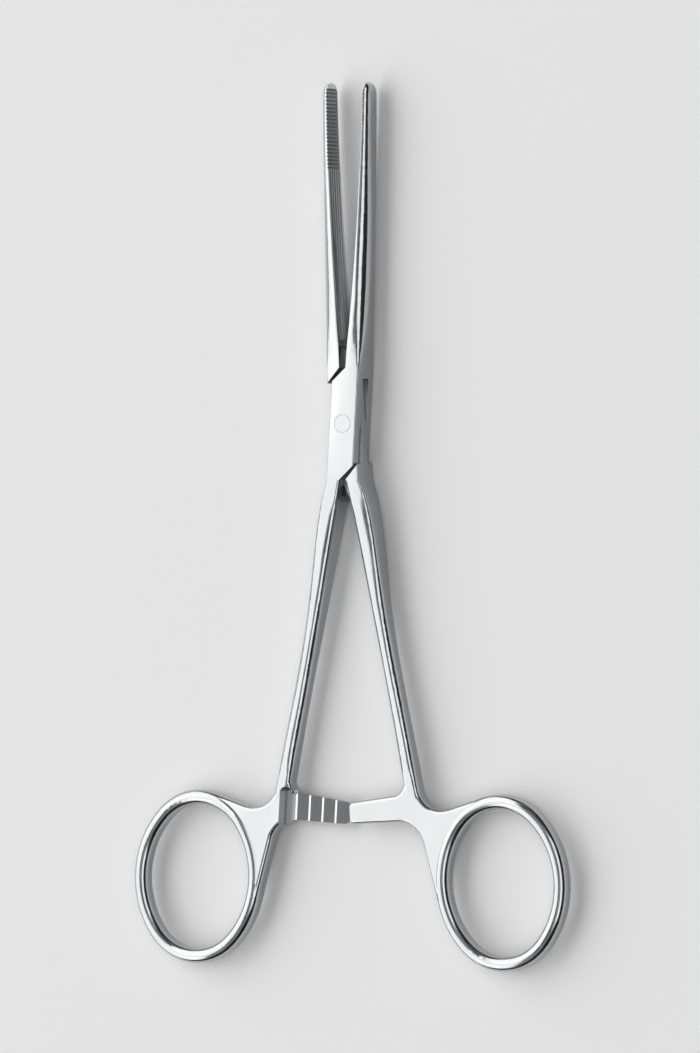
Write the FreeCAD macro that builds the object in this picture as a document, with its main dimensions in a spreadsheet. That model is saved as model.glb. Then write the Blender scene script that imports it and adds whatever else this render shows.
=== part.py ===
import FreeCAD, Part
import Sketcher
import math
import os

# Hemostat forceps with a box lock, a ratchet and two finger rings.
# Millimetres and degrees. The forceps lies flat, jaws towards +Y, with the pivot axis on Z.
# Each half is drawn in its own frame as it stands when the jaws are closed: origin on the pivot axis
# at mid thickness, its jaw on the +X side and its shank and ring on the -X side.
# Both halves have the same outline. The male half lies the other way up, turned half a turn about Y.

doc = FreeCAD.newDocument("hemostat_forceps")

SIZES = {
    # Box lock
    "box_width": 5.5,
    "box_thickness": 5.6,
    "box_rounding": 0.3,  # long outer edges
    "heel_distance": 7.1,  # pivot axis to the oblique ends of the cheeks
    "slot_side": 8.2,  # pivot to the slot's end wall, along the side of the box
    "slot_middle": 14.0,  # pivot to the slot's end wall, along the closing plane
    "tongue_thickness": 1.85,
    "tongue_clearance": 0.05,  # each face of the tongue
    "end_clearance": 0.08,  # tongue ends and heels against the box
    "box_overlap": 0.2,  # how far jaw and shank reach past the oblique ends
    "face_clearance": 0.05,  # each gripping face from the closing plane
    "pin_diameter": 2.4,
    "pin_clearance": 0.05,  # radial, in the tongue
    "rivet_diameter": 3.3,  # spread ends of the pin
    "rivet_depth": 0.5,
    # Jaw
    "jaw_reach": 61.5,  # pivot to the tip
    "root_rounding": 0.42,
    "belly_reach": 21.0,
    "belly_depth": 2.98,
    "belly_thickness": 5.0,
    "belly_rounding": 1.75,
    "waist_reach": 40.0,
    "waist_depth": 2.35,
    "waist_thickness": 4.5,
    "waist_rounding": 1.65,
    "tip_depth": 1.25,
    "tip_thickness": 4.1,
    "tip_rounding": 1.1,
    "face_hollow": 0.5,
    # Serrations of the gripping face
    "ridge_pitch": 0.79,
    "ridge_count": 5,
    "ridge_depth": 0.24,
    "ridge_start": 15.2,  # pivot to the heel end of the ridges
    "cross_pitch": 0.67,
    "cross_count": 22,
    "cross_depth": 0.2,
    # Shank: distance below the pivot, offset from the closing plane, width, thickness, rounding
    "neck_drop": 18.5,
    "neck_offset": 2.9,
    "neck_width": 3.4,
    "neck_thickness": 4.6,
    "neck_rounding": 0.6,
    "upper_drop": 32.0,
    "upper_offset": 4.43,
    "upper_width": 2.8,
    "upper_thickness": 3.9,
    "upper_rounding": 0.85,
    "lower_drop": 48.0,
    "lower_offset": 6.65,
    "lower_width": 2.65,
    "lower_thickness": 3.4,
    "lower_rounding": 1.05,
    "foot_drop": 67.3,  # top edge of the ratchet arm
    "foot_offset": 9.5,
    "foot_width": 2.8,
    "foot_thickness": 3.2,
    "foot_rounding": 0.7,
    "toe_sink": 5.7,  # how far the shank runs on into the web, past its foot
    "toe_shift": 0.8,
    "toe_width": 3.2,
    "toe_thickness": 2.4,
    "toe_rounding": 0.7,
    # Ring, measured along the middle of its wire
    "ring_out": 17.0,  # ring centre from the foot of the shank, sideways
    "ring_drop": 16.5,  # ring centre below the top edge of the ratchet arm
    "ring_half_width": 12.0,
    "ring_half_length": 14.5,
    "ring_end_radius": 10.5,
    "ring_splay": 1.75,
    "ring_wire": 2.6,
    "ring_thickness": 3.5,
    "ring_rounding": 1.2,
    # Web between shank, ring and ratchet arm
    "web_thickness": 3.1,
    "web_rounding": 0.7,
    "web_sink": 0.1,  # how far the edges of the web lie inside shank and ring
    "crotch_radius": 5.0,
    "crotch_turn": 14.5,  # where the web leaves the end of the ring, in degrees from its top
    "armpit_radius": 5.0,
    "armpit_turn": 12.0,  # where the web leaves the ring, in degrees below its middle
    "arm_root_radius": 2.4,
    # Ratchet arm
    "arm_reach": 3.8,  # tip past the closing plane
    "arm_height": 4.7,
    "arm_taper": 0.7,
    "arm_slope": 5.0,
    "arm_corner": 0.9,
    "tooth_pitch": 2.75,
    "tooth_depth": 0.8,
    "tooth_land": 0.4,  # flat top of each tooth
    "tooth_count": 4,
    "crest_clearance": 0.04,
    "recess_length": 2.5,
    "recess_rise": 1.2,  # its round end above the top edge of the arm
    # Opening between the halves in the pose that is modelled
    "rest_opening": 6.9,
    # How far a cutting outline runs past the steel
    "margin": 1.0,
}

# Sizes that follow from the ones above. Places are distances to the left of the pivot and below it.
DERIVED = {
    "half_box": "box_width / 2",
    "half_thickness": "box_thickness / 2",
    "half_opening": "rest_opening / 2",
    "heel": "heel_distance * sqrt(2)",
    "root": "heel + box_overlap",
    "slot_slope": "(slot_middle - slot_side) / half_box",
    "slot_thickness": "tongue_thickness + 2 * tongue_clearance",
    "tip_centre": "jaw_reach - tip_thickness / 2",
    # Gripping face: an arc about an axis far to the left
    "face_chord": "jaw_reach - slot_middle",
    "face_radius": "face_chord^2 / (8 * face_hollow) + face_hollow / 2",
    "face_axis": "face_radius - face_hollow - face_clearance",
    "face_middle": "slot_middle + face_chord / 2",
    "ridge_end": "2 * face_middle - ridge_start",
    # End of the shank inside the web
    "toe_drop": "foot_drop + toe_sink",
    "toe_offset": "foot_offset + toe_shift",
    # Ring: centres of its upper end arc and of its side arc next to the shank
    "ring_x": "foot_offset + ring_out",
    "ring_y": "foot_drop + ring_drop",
    "ring_rise": "ring_half_length - ring_end_radius",
    "ring_bulge": "ring_half_width - ring_end_radius",
    "side_radius": "(ring_rise^2 + ring_half_width^2 - ring_end_radius^2) / (2 * ring_bulge)",
    "end_x": "ring_x - ring_rise * sin(ring_splay * 1 deg)",
    "end_y": "ring_y - ring_rise * cos(ring_splay * 1 deg)",
    "side_x": "ring_x + (side_radius - ring_half_width) * cos(ring_splay * 1 deg)",
    "side_y": "ring_y - (side_radius - ring_half_width) * sin(ring_splay * 1 deg)",
    "web_end_radius": "ring_end_radius + ring_wire / 2 - web_sink",
    "web_side_radius": "side_radius + ring_wire / 2 - web_sink",
    # Crotch: an arc between the outer side of the shank and a line that leaves the end of the ring
    "lean": "atan((foot_offset - lower_offset) / (foot_drop - lower_drop))",
    "outer_side": "foot_offset + foot_width / 2 - web_sink",
    "brow_x": "end_x - web_end_radius * sin(crotch_turn * 1 deg)",
    "brow_y": "end_y - web_end_radius * cos(crotch_turn * 1 deg)",
    "crotch_away_x": "outer_side + crotch_radius * cos(lean) - end_x",
    "crotch_away_y": "foot_drop - crotch_radius * sin(lean) - end_y",
    "crotch_level": "crotch_away_x * sin(crotch_turn * 1 deg) + crotch_away_y * cos(crotch_turn * 1 deg)",
    "crotch_climb": "(web_end_radius + crotch_radius + crotch_level) / cos(lean - crotch_turn * 1 deg)",
    "crotch_x": "end_x + crotch_away_x - crotch_climb * sin(lean)",
    "crotch_y": "end_y + crotch_away_y - crotch_climb * cos(lean)",
    # Armpit: an arc between the bottom edge of the arm and a line that leaves the ring
    "arm_bottom": "foot_drop + arm_height",
    "leave_x": "side_x - web_side_radius * cos(armpit_turn * 1 deg)",
    "leave_y": "side_y + web_side_radius * sin(armpit_turn * 1 deg)",
    "armpit_y": "arm_bottom + armpit_radius",
    "armpit_gap": "armpit_radius + (leave_y - armpit_y) * sin(armpit_turn * 1 deg)",
    "armpit_x": "leave_x - armpit_gap / cos(armpit_turn * 1 deg)",
    # Root of the arm: an arc between its top edge and the inner side of the shank
    "inner_side": "foot_offset - foot_width / 2 + web_sink",
    "arm_top": "foot_drop + arm_taper",
    "slope": "arm_slope * 1 deg",
    "arm_level": "arm_root_radius + (arm_reach - arm_corner) * sin(slope) - arm_top * cos(slope)",
    "shank_level": "arm_root_radius - inner_side * cos(lean) + foot_drop * sin(lean)",
    "arm_root_x": "-(arm_level * sin(lean) + shank_level * cos(slope)) / cos(slope - lean)",
    "arm_root_y": "-(arm_level * cos(lean) - shank_level * sin(slope)) / cos(slope - lean)",
    # Ratchet
    "valley": "crest_clearance + tooth_depth",
    "first_tooth": "arm_reach - tooth_count * tooth_pitch",
}

sheet = doc.addObject("Spreadsheet::Sheet", "Sizes")
entries = list(SIZES.items()) + [(alias, f"={formula}") for alias, formula in DERIVED.items()]
for row, (alias, value) in enumerate(entries, start=1):
    sheet.set(f"A{row}", alias)
    sheet.set(f"B{row}", str(value))
    sheet.setAlias(f"B{row}", alias)
doc.recompute()


def origin_plane(body, role):
    """Return one of the body's own origin planes or axes."""
    return next(f for f in body.Origin.OriginFeatures if f.Role == role)


def new_sketch(body, name, plane, **offsets):
    """Add a sketch on an origin plane, shifted by formulas along its own x, y or z."""
    sketch = body.newObject("Sketcher::SketchObject", name)
    sketch.AttachmentSupport = [(origin_plane(body, plane), "")]
    sketch.MapMode = "FlatFace"
    for axis, formula in offsets.items():
        sketch.setExpression(f".AttachmentOffset.Base.{axis}", formula)
    return sketch


def size(sketch, formula):
    """Value of a formula, as a plain number."""
    return float(sketch.evalExpression(formula))


def bind(sketch, constraint, formula):
    """Add a dimension to the sketch and tie it to a formula."""
    index = sketch.addConstraint(constraint)
    sketch.setExpression(f"Constraints[{index}]", formula)


def place_point(sketch, geometry, point, x_formula, y_formula):
    """Dimension a point from the sketch origin."""
    x_value = size(sketch, x_formula)
    y_value = size(sketch, y_formula)
    bind(sketch, Sketcher.Constraint("DistanceX", -1, 1, geometry, point, x_value), x_formula)
    bind(sketch, Sketcher.Constraint("DistanceY", -1, 1, geometry, point, y_value), y_formula)


def outline(sketch, corners):
    """Draw a closed outline of corners (x, y), all tied to formulas.

    A corner (x, y, radius, side) starts an arc that bulges to the left (1) or right (-1) of its chord.
    """
    spots = [FreeCAD.Vector(size(sketch, c[0]), size(sketch, c[1]), 0) for c in corners]
    starts = []
    ends = []
    for i, corner in enumerate(corners):
        start = spots[i]
        end = spots[(i + 1) % len(spots)]
        chord = end - start
        if len(corner) == 2:
            edge = Part.LineSegment(start, end)
        else:
            radius = size(sketch, corner[2])
            sagitta = radius - (radius**2 - (chord.Length / 2) ** 2) ** 0.5
            across = FreeCAD.Vector(-chord.y, chord.x, 0).normalize() * (sagitta * corner[3])
            edge = Part.Arc(start, start + chord * 0.5 + across, end)
        index = sketch.addGeometry(edge, False)
        begins_at_start = sketch.getPoint(index, 1).distanceToPoint(start) < 1e-6
        starts.append((index, 1 if begins_at_start else 2))
        ends.append((index, 2 if begins_at_start else 1))
    for i, corner in enumerate(corners):
        following = (i + 1) % len(corners)
        sketch.addConstraint(Sketcher.Constraint("Coincident", *ends[i], *starts[following]))
        place_point(sketch, *starts[i], corner[0], corner[1])
        if len(corner) == 4:
            radius = Sketcher.Constraint("Radius", starts[i][0], size(sketch, corner[2]))
            bind(sketch, radius, corner[2])


def turning_axis(sketch, x_formula, y_formula, direction):
    """Add a construction line, Horizontal or Vertical, that a feature can turn about."""
    start = FreeCAD.Vector(size(sketch, x_formula), size(sketch, y_formula), 0)
    if direction == "Horizontal":
        step = FreeCAD.Vector(1, 0, 0)
        length = "DistanceX"
    else:
        step = FreeCAD.Vector(0, 1, 0)
        length = "DistanceY"
    axis = sketch.addGeometry(Part.LineSegment(start, start + step), True)
    sketch.addConstraint(Sketcher.Constraint(direction, axis))
    place_point(sketch, axis, 1, x_formula, y_formula)
    bind(sketch, Sketcher.Constraint(length, axis, 1, axis, 2, 1), "1")


def ring_sketch(body, name):
    """Add a sketch centred on the finger ring and splayed with it."""
    sketch = new_sketch(body, name, "XY_Plane", x="-Sizes.ring_x", y="-Sizes.ring_y")
    splay = FreeCAD.Rotation(FreeCAD.Vector(0, 0, 1), -1)
    sketch.AttachmentOffset = FreeCAD.Placement(FreeCAD.Vector(), splay)
    sketch.setExpression(".AttachmentOffset.Rotation.Angle", "-Sizes.ring_splay * 1 deg")
    return sketch


def oval(sketch):
    """Draw the middle line of the ring wire as four tangent arcs, from the side next to the shank."""
    width = "Sizes.ring_half_width"
    end = "Sizes.ring_end_radius"
    side = "Sizes.side_radius"
    x_meet = f"({side} - {width}) * {end} / ({side} - {end})"
    y_meet = f"{side} * Sizes.ring_rise / ({side} - {end})"
    outline(sketch, [
        (width, "0", side, -1),
        (x_meet, y_meet, end, -1),
        (f"-({x_meet})", y_meet, side, -1),
        (f"-({x_meet})", f"-({y_meet})", end, -1),
        (x_meet, f"-({y_meet})", side, -1),
    ])


def jaw_section(body, name, reach, depth, thickness, rounding):
    """Half-round section across the jaw: flat gripping face, rounded back."""
    sketch = new_sketch(body, name, "XZ_Plane", z=f"-({reach})")
    top = f"({thickness}) / 2"
    outline(sketch, [
        ("Sizes.face_clearance", f"-{top}"),
        (f"{depth} - {rounding}", f"-{top}", rounding, -1),
        (depth, f"-({top} - {rounding})"),
        (depth, f"{top} - {rounding}", rounding, -1),
        (f"{depth} - {rounding}", top),
        ("Sizes.face_clearance", top),
    ])
    return sketch


def bar_section(sketch, left, right, thickness, rounding):
    """Rectangle with four rounded corners, level with the middle of the thickness."""
    top = f"({thickness}) / 2"
    outline(sketch, [
        (f"{left} + {rounding}", f"-{top}"),
        (f"{right} - {rounding}", f"-{top}", rounding, -1),
        (right, f"-({top} - {rounding})"),
        (right, f"{top} - {rounding}", rounding, -1),
        (f"{right} - {rounding}", top),
        (f"{left} + {rounding}", top, rounding, -1),
        (left, f"{top} - {rounding}"),
        (left, f"-({top} - {rounding})", rounding, -1),
    ])
    return sketch


def shank_section(body, name):
    """Section across the shank at one of its named stations."""
    sketch = new_sketch(body, f"{name}_section", "XZ_Plane", z=f"Sizes.{name}_drop")
    middle = f"Sizes.{name}_offset"
    half = f"Sizes.{name}_width / 2"
    left = f"-({middle} + {half})"
    right = f"-({middle} - {half})"
    return bar_section(sketch, left, right, f"Sizes.{name}_thickness", f"Sizes.{name}_rounding")


def pad(body, name, sketch, thickness):
    """Thicken a sketch evenly to both sides of its plane."""
    feature = body.newObject("PartDesign::Pad", name)
    feature.Profile = sketch
    feature.Midplane = True
    feature.setExpression("Length", thickness)
    return feature


def pocket(body, name, sketch, thickness=None):
    """Cut a sketch evenly to both sides of its plane, or right through when no thickness is given."""
    feature = body.newObject("PartDesign::Pocket", name)
    feature.Profile = sketch
    feature.Midplane = True
    if thickness is None:
        feature.Type = "ThroughAll"
    else:
        feature.setExpression("Length", thickness)
    return feature


def loft(body, name, sections):
    """Smooth body through a row of sections."""
    feature = body.newObject("PartDesign::AdditiveLoft", name)
    feature.Profile = sections[0]
    feature.Sections = sections[1:]
    feature.Ruled = False
    return feature


def around(x_centre, y_centre, radius, angle, sides):
    """Point on an arc, given as distances left of the pivot and below it, as a place in the sketch."""
    x_side, y_side = sides
    x_formula = f"-({x_centre} {x_side} {radius} * cos({angle}))"
    y_formula = f"-({y_centre} {y_side} {radius} * sin({angle}))"
    return x_formula, y_formula


def web_and_arm(body):
    """Flat plate that joins shank and ring and runs out as the ratchet arm."""
    lean = "Sizes.lean"
    upright = "(90 deg - Sizes.crotch_turn * 1 deg)"
    turn = "Sizes.armpit_turn * 1 deg"
    slope = "(90 deg - Sizes.arm_slope * 1 deg)"
    tip = "Sizes.arm_reach"
    corner = "Sizes.arm_corner"
    top = "Sizes.arm_top"
    bottom = "Sizes.arm_bottom"
    root = ("Sizes.arm_root_x", "Sizes.arm_root_y", "Sizes.arm_root_radius")
    crotch = ("Sizes.crotch_x", "Sizes.crotch_y", "Sizes.crotch_radius")
    armpit = ("Sizes.armpit_x", "Sizes.armpit_y", "Sizes.armpit_radius")
    sketch = new_sketch(body, "web_outline", "XY_Plane")
    outline(sketch, [
        ("-Sizes.armpit_x", f"-{bottom}"),
        (f"{tip} - {corner}", f"-{bottom}", corner, -1),
        (tip, f"-({bottom} - {corner})"),
        (tip, f"-({top} + {corner})", corner, -1),
        (f"{tip} - {corner}", f"-{top}"),
        (*around(*root, slope, "++"), root[2], 1),
        around(*root, lean, "+-"),
        (*around(*crotch, lean, "-+"), crotch[2], 1),
        around(*crotch, upright, "++"),
        ("-Sizes.brow_x", "-Sizes.brow_y"),
        ("-Sizes.leave_x", "-Sizes.leave_y"),
        (*around(*armpit, turn, "+-"), armpit[2], 1),
    ])
    web = pad(body, "web", sketch, "Sizes.web_thickness")
    doc.recompute()
    outside = [
        f"Edge{i}"
        for i, edge in enumerate(web.Shape.Edges, start=1)
        if edge.Curve.TypeId == "Part::GeomCircle"
    ]
    rounding = body.newObject("PartDesign::Fillet", "web_edges")
    rounding.Base = (web, outside)
    rounding.setExpression("Radius", "Sizes.web_rounding")

    hole = ring_sketch(body, "finger_hole_outline")
    oval(hole)
    pocket(body, "finger_hole", hole)


def ratchet(body):
    """Relieve the arm to half thickness and cut its saw teeth, which face the other half's arm."""
    crest = "Sizes.crest_clearance"
    past = "Sizes.arm_reach + Sizes.margin"
    above = "Sizes.web_thickness"
    relief = new_sketch(body, "relief_outline", "XZ_Plane")
    outline(relief, [
        ("Sizes.first_tooth", f"-{crest}"),
        (past, f"-{crest}"),
        (past, above),
        ("Sizes.first_tooth", above),
    ])
    pocket(body, "relief", relief)
    gap = new_sketch(body, "tooth_gap_outline", "XZ_Plane")
    ramp = "Sizes.first_tooth + Sizes.tooth_land"
    next_tooth = "Sizes.first_tooth + Sizes.tooth_pitch"
    outline(gap, [
        (ramp, f"-{crest}"),
        (next_tooth, "-Sizes.valley"),
        (next_tooth, above),
        (ramp, above),
    ])
    first_gap = pocket(body, "tooth_gap", gap)
    doc.recompute()
    row = body.newObject("PartDesign::LinearPattern", "tooth_row")
    row.Originals = [first_gap]
    row.Direction = (origin_plane(body, "X_Axis"), [""])
    row.setExpression("Length", "(Sizes.tooth_count - 1) * Sizes.tooth_pitch")
    row.setExpression("Occurrences", "Sizes.tooth_count")
    body.Tip = row
    doc.recompute()


def recess(body):
    """Clear the root of the arm with a round-ended cutter, where the last tooth of the other arm comes."""
    sketch = new_sketch(body, "recess_outline", "XY_Plane", z="-Sizes.valley")
    left = "(Sizes.first_tooth - Sizes.recess_length)"
    radius = "Sizes.recess_length / 2"
    spring = f"-(Sizes.foot_drop - Sizes.recess_rise + {radius})"
    below = "-(Sizes.armpit_y - Sizes.armpit_radius / 2)"
    outline(sketch, [
        (left, below),
        ("Sizes.first_tooth", below),
        ("Sizes.first_tooth", spring, radius, -1),
        (left, spring),
    ])
    cut = pocket(body, "recess", sketch)
    cut.Midplane = False
    cut.Reversed = True


def finger_ring(body):
    """Oval ring of rounded wire."""
    path = ring_sketch(body, "ring_path")
    oval(path)
    splay = "Sizes.ring_splay * 1 deg"
    section = new_sketch(body, "ring_section", "XZ_Plane")
    upright = FreeCAD.Vector(0, 1, 0)
    section.AttachmentOffset = FreeCAD.Placement(FreeCAD.Vector(), FreeCAD.Rotation(upright, -1))
    section.setExpression(".AttachmentOffset.Base.x", f"Sizes.ring_half_width * cos({splay}) - Sizes.ring_x")
    section.setExpression(".AttachmentOffset.Base.z", f"Sizes.ring_y + Sizes.ring_half_width * sin({splay})")
    section.setExpression(".AttachmentOffset.Rotation.Angle", f"-({splay})")
    half_wire = "Sizes.ring_wire / 2"
    bar_section(section, f"-{half_wire}", half_wire, "Sizes.ring_thickness", "Sizes.ring_rounding")
    ring = body.newObject("PartDesign::AdditivePipe", "ring")
    ring.Profile = section
    ring.Spine = (path, [])


def shank(body):
    """Tapering bar from the box to the web."""
    root = new_sketch(body, "root_section", "XZ_Plane", z="Sizes.root")
    at_box = ("Sizes.box_thickness", "Sizes.root_rounding")
    bar_section(root, "-Sizes.half_box", "-Sizes.face_clearance", *at_box)
    stations = [shank_section(body, name) for name in ("neck", "upper", "lower", "foot", "toe")]
    loft(body, "shank", [root] + stations)


def jaw(body):
    """Jaw with a hollowed gripping face, a rounded back and a full-round tip."""
    at_box = ("Sizes.half_box", "Sizes.box_thickness", "Sizes.root_rounding")
    root = jaw_section(body, "jaw_root", "Sizes.root", *at_box)
    sections = [root] + [
        jaw_section(
            body,
            f"jaw_{name}",
            f"Sizes.{name}_reach",
            f"Sizes.{name}_depth",
            f"Sizes.{name}_thickness",
            f"Sizes.{name}_rounding",
        )
        for name in ("belly", "waist")
    ]
    end = ("Sizes.tip_centre", "Sizes.tip_depth", "Sizes.tip_thickness", "Sizes.tip_rounding")
    sections.append(jaw_section(body, "jaw_end", *end))
    loft(body, "jaw", sections)

    half_profile = new_sketch(body, "tip_outline", "XY_Plane")
    outline(half_profile, [
        ("Sizes.face_clearance", "Sizes.tip_centre"),
        ("Sizes.tip_depth", "Sizes.tip_centre"),
        ("Sizes.tip_depth", "Sizes.jaw_reach - Sizes.tip_rounding", "Sizes.tip_rounding", -1),
        ("Sizes.tip_depth - Sizes.tip_rounding", "Sizes.jaw_reach"),
        ("Sizes.face_clearance", "Sizes.jaw_reach"),
    ])
    turning_axis(half_profile, "0", "Sizes.tip_centre", "Horizontal")
    tip = body.newObject("PartDesign::Revolution", "tip")
    tip.Profile = half_profile
    tip.ReferenceAxis = (half_profile, ["Axis0"])
    tip.Midplane = True
    tip.Angle = 180

    hollow = new_sketch(body, "hollow_outline", "XY_Plane")
    outline(hollow, [
        ("-Sizes.margin", "Sizes.slot_middle"),
        ("Sizes.face_clearance", "Sizes.slot_middle", "Sizes.face_radius", -1),
        ("Sizes.face_clearance", "Sizes.jaw_reach"),
        ("-Sizes.margin", "Sizes.jaw_reach"),
    ])
    pocket(body, "face_hollow", hollow)


def ridges(body):
    """Cut lengthwise grooves into the hollow gripping face, so that ridges are left between them."""
    sketch = new_sketch(body, "ridge_outline", "XZ_Plane", z="-Sizes.face_middle")
    face = "(Sizes.face_clearance + Sizes.face_hollow)"
    half = "Sizes.ridge_depth"
    lowest = "(Sizes.ridge_count - 1) * Sizes.ridge_pitch / 2"
    outline(sketch, [
        (f"{face} - {half}", f"-({lowest} + 2 * {half})"),
        (f"{face} + {half}", f"-{lowest}"),
        (f"{face} - {half}", f"-({lowest} - 2 * {half})"),
    ])
    turning_axis(sketch, "-Sizes.face_axis", "0", "Vertical")
    groove = body.newObject("PartDesign::Groove", "ridge_gap")
    groove.Profile = sketch
    groove.ReferenceAxis = (sketch, ["Axis0"])
    groove.Midplane = True
    groove.setExpression("Angle", "2 * asin((Sizes.face_middle - Sizes.ridge_start) / Sizes.face_radius)")
    doc.recompute()
    row = body.newObject("PartDesign::LinearPattern", "ridge_row")
    row.Originals = [groove]
    row.Direction = (origin_plane(body, "Z_Axis"), [""])
    row.setExpression("Length", "(Sizes.ridge_count - 1) * Sizes.ridge_pitch")
    row.setExpression("Occurrences", "Sizes.ridge_count")
    body.Tip = row
    doc.recompute()


def cross_cuts(body):
    """Cut grooves across the ridges near the tip, one after the other along the hollow face."""
    centre = new_sketch(body, "cross_outline", "XY_Plane", x="-Sizes.face_axis", y="Sizes.face_middle")
    last = "(Sizes.ridge_end - Sizes.face_middle)"
    face = f"sqrt(Sizes.face_radius^2 - {last}^2)"
    half = "Sizes.cross_depth"
    outline(centre, [
        (f"{face} - {half}", f"{last} - 2 * {half}"),
        (f"{face} + {half}", last),
        (f"{face} - {half}", f"{last} + 2 * {half}"),
    ])
    cut = pocket(body, "cross_gap", centre)
    doc.recompute()
    row = body.newObject("PartDesign::PolarPattern", "cross_row")
    row.Originals = [cut]
    row.Axis = (centre, ["N_Axis"])
    row.Reversed = True
    row.setExpression("Angle", "(Sizes.cross_count - 1) * Sizes.cross_pitch / Sizes.face_radius * 1 rad")
    row.setExpression("Occurrences", "Sizes.cross_count")
    body.Tip = row
    doc.recompute()


def half_forging(name):
    """Ring, web, ratchet arm and shank, which both halves share."""
    body = doc.addObject("PartDesign::Body", name)
    body.Label = name
    web_and_arm(body)
    ratchet(body)
    finger_ring(body)
    shank(body)
    recess(body)
    return body


def break_edges(body, block):
    """Round the long outer edges of the box, as those of the jaw and the shank that run on from them."""
    doc.recompute()
    side = sheet.get("half_box")
    top = sheet.get("half_thickness")
    root = sheet.get("root")
    outer = []
    for i, edge in enumerate(block.Shape.Edges, start=1):
        middle = edge.BoundBox.Center
        at_corner = abs(abs(middle.x) - side) < 1e-4 and abs(abs(middle.z) - top) < 1e-4
        if at_corner and edge.BoundBox.XLength < 1e-4 and abs(middle.y) < root:
            outer.append(f"Edge{i}")
    rounding = body.newObject("PartDesign::Fillet", f"{block.Name}_edges")
    rounding.Base = (block, outer)
    rounding.setExpression("Radius", "Sizes.box_rounding")


def rivet_profile(body, name):
    """Half section of the rivet, spread at both ends."""
    sketch = new_sketch(body, name, "XZ_Plane")
    end = "Sizes.half_thickness"
    shoulder = "(Sizes.half_thickness - Sizes.rivet_depth)"
    outline(sketch, [
        ("0", f"-{end}"),
        ("Sizes.rivet_diameter / 2", f"-{end}"),
        ("Sizes.pin_diameter / 2", f"-{shoulder}"),
        ("Sizes.pin_diameter / 2", shoulder),
        ("Sizes.rivet_diameter / 2", end),
        ("0", end),
    ])
    return sketch


def female_half():
    """Half with the slotted box."""
    body = half_forging("female_half")
    box = new_sketch(body, "box_outline", "XY_Plane")
    outline(box, [
        ("Sizes.half_box", "-(Sizes.heel - Sizes.half_box)"),
        ("Sizes.half_box", "Sizes.root"),
        ("Sizes.face_clearance", "Sizes.root"),
        ("Sizes.face_clearance", "Sizes.heel + Sizes.face_clearance"),
        ("-Sizes.half_box", "Sizes.heel - Sizes.half_box"),
        ("-Sizes.half_box", "-Sizes.root"),
        ("-Sizes.face_clearance", "-Sizes.root"),
        ("-Sizes.face_clearance", "-(Sizes.heel + Sizes.face_clearance)"),
    ])
    break_edges(body, pad(body, "box", box, "Sizes.box_thickness"))
    jaw(body)
    slot = new_sketch(body, "slot_outline", "XY_Plane")
    beside = "(Sizes.half_box + Sizes.margin)"
    side_end = "(Sizes.slot_side - Sizes.slot_slope * Sizes.margin)"
    past_end = "(Sizes.slot_middle + Sizes.slot_slope * Sizes.margin)"
    outline(slot, [
        (beside, side_end),
        ("-Sizes.margin", past_end),
        (f"-{beside}", past_end),
        (f"-{beside}", f"-{side_end}"),
        ("Sizes.margin", f"-{past_end}"),
        (beside, f"-{past_end}"),
    ])
    pocket(body, "slot", slot, "Sizes.slot_thickness")
    seat = body.newObject("PartDesign::Groove", "rivet_seat")
    profile = rivet_profile(body, "rivet_seat_outline")
    seat.Profile = profile
    seat.ReferenceAxis = (profile, ["V_Axis"])
    seat.Angle = 360
    body.Tip = seat
    doc.recompute()
    ridges(body)
    cross_cuts(body)
    return body


def male_half():
    """Half with the tongue that passes through the box."""
    body = half_forging("male_half")
    heel = "(Sizes.heel + Sizes.end_clearance * sqrt(2))"
    beside = f"{heel} - Sizes.half_box"
    middle = f"{heel} - Sizes.face_clearance"
    shoulder = new_sketch(body, "shoulder_outline", "XY_Plane")
    outline(shoulder, [
        ("-Sizes.half_box", f"-({beside})"),
        ("-Sizes.half_box", "-Sizes.root"),
        ("-Sizes.face_clearance", "-Sizes.root"),
        ("-Sizes.face_clearance", f"-({middle})"),
    ])
    break_edges(body, pad(body, "shoulder", shoulder, "Sizes.box_thickness"))
    tongue = new_sketch(body, "tongue_outline", "XY_Plane")
    side_end = "(Sizes.slot_side - Sizes.end_clearance)"
    middle_end = "(Sizes.slot_middle - Sizes.end_clearance)"
    quarter = "Sizes.half_box / 2"
    outline(tongue, [
        ("Sizes.half_box", f"-{side_end}"),
        ("Sizes.half_box", "Sizes.root"),
        (quarter, middle_end),
        ("0", middle_end),
        ("-Sizes.half_box", side_end),
        ("-Sizes.half_box", "-Sizes.root"),
        (f"-{quarter}", f"-{middle_end}"),
        ("0", f"-{middle_end}"),
    ])
    pad(body, "tongue", tongue, "Sizes.tongue_thickness")
    heel_block = new_sketch(body, "heel_outline", "XY_Plane")
    outline(heel_block, [
        ("Sizes.half_box", beside),
        ("Sizes.half_box", "Sizes.root"),
        ("Sizes.face_clearance", "Sizes.root"),
        ("Sizes.face_clearance", middle),
    ])
    break_edges(body, pad(body, "heel", heel_block, "Sizes.box_thickness"))
    jaw(body)
    bore = new_sketch(body, "bore_outline", "XY_Plane")
    radius = "Sizes.pin_diameter / 2 + Sizes.pin_clearance"
    upright = FreeCAD.Vector(0, 0, 1)
    circle = bore.addGeometry(Part.Circle(FreeCAD.Vector(), upright, size(bore, radius)), False)
    bore.addConstraint(Sketcher.Constraint("Coincident", circle, 3, -1, 1))
    bind(bore, Sketcher.Constraint("Radius", circle, size(bore, radius)), radius)
    pocket(body, "bore", bore)
    doc.recompute()
    ridges(body)
    cross_cuts(body)
    return body


def pivot_pin():
    """Rivet, ground flush with the cheeks."""
    body = doc.addObject("PartDesign::Body", "pivot_pin")
    body.Label = "pivot_pin"
    profile = rivet_profile(body, "rivet_outline")
    rivet = body.newObject("PartDesign::Revolution", "rivet")
    rivet.Profile = profile
    rivet.ReferenceAxis = (profile, ["V_Axis"])
    rivet.Angle = 360
    return body


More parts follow.
